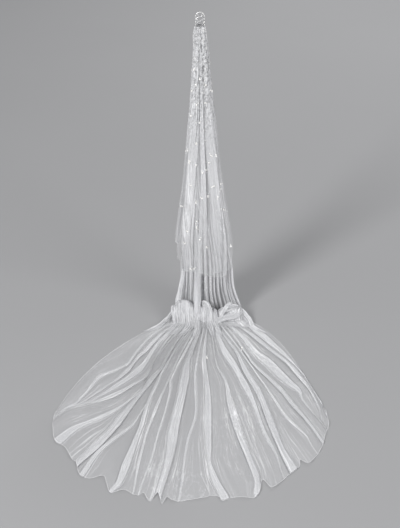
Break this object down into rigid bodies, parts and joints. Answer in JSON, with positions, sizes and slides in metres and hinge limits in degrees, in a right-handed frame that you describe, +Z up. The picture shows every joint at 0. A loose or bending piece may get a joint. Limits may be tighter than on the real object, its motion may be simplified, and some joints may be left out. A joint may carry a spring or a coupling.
{
  "type": "two-tier bridal veil on a comb, train spread on the floor",
  "caption": "Sheer net bridal veil that hangs in a narrow gathered column from a comb with a beaded wire arch, pools at the floor and fans out into a pleated train.",
  "frame": {"origin": "middle of the comb's spine, where the wearer's hair holds the veil", "axes": "+Z up; the train spreads along -Y, towards a viewer in front; +X is that viewer's right"},
  "size_m": [1.3851, 1.7482, 1.7917],
  "materials": {
    "silk_net": "sheer matt net",
    "silver_wire": "polished silver-coloured wire",
    "pearl": "imitation pearl and clear crystal"
  },
  "bodies": {
    "root": {"comb": "silver_wire", "arch": "silver_wire", "vine_front": "pearl", "vine_back": "pearl", "long_tier_fall": "silk_net", "upper_tier": "silk_net", "front_strand": "silk_net", "pool_roll_left": "silk_net", "pool_roll_middle": "silk_net", "pool_roll_right": "silk_net", "train": "silk_net"}
  },
  "joints": []
}
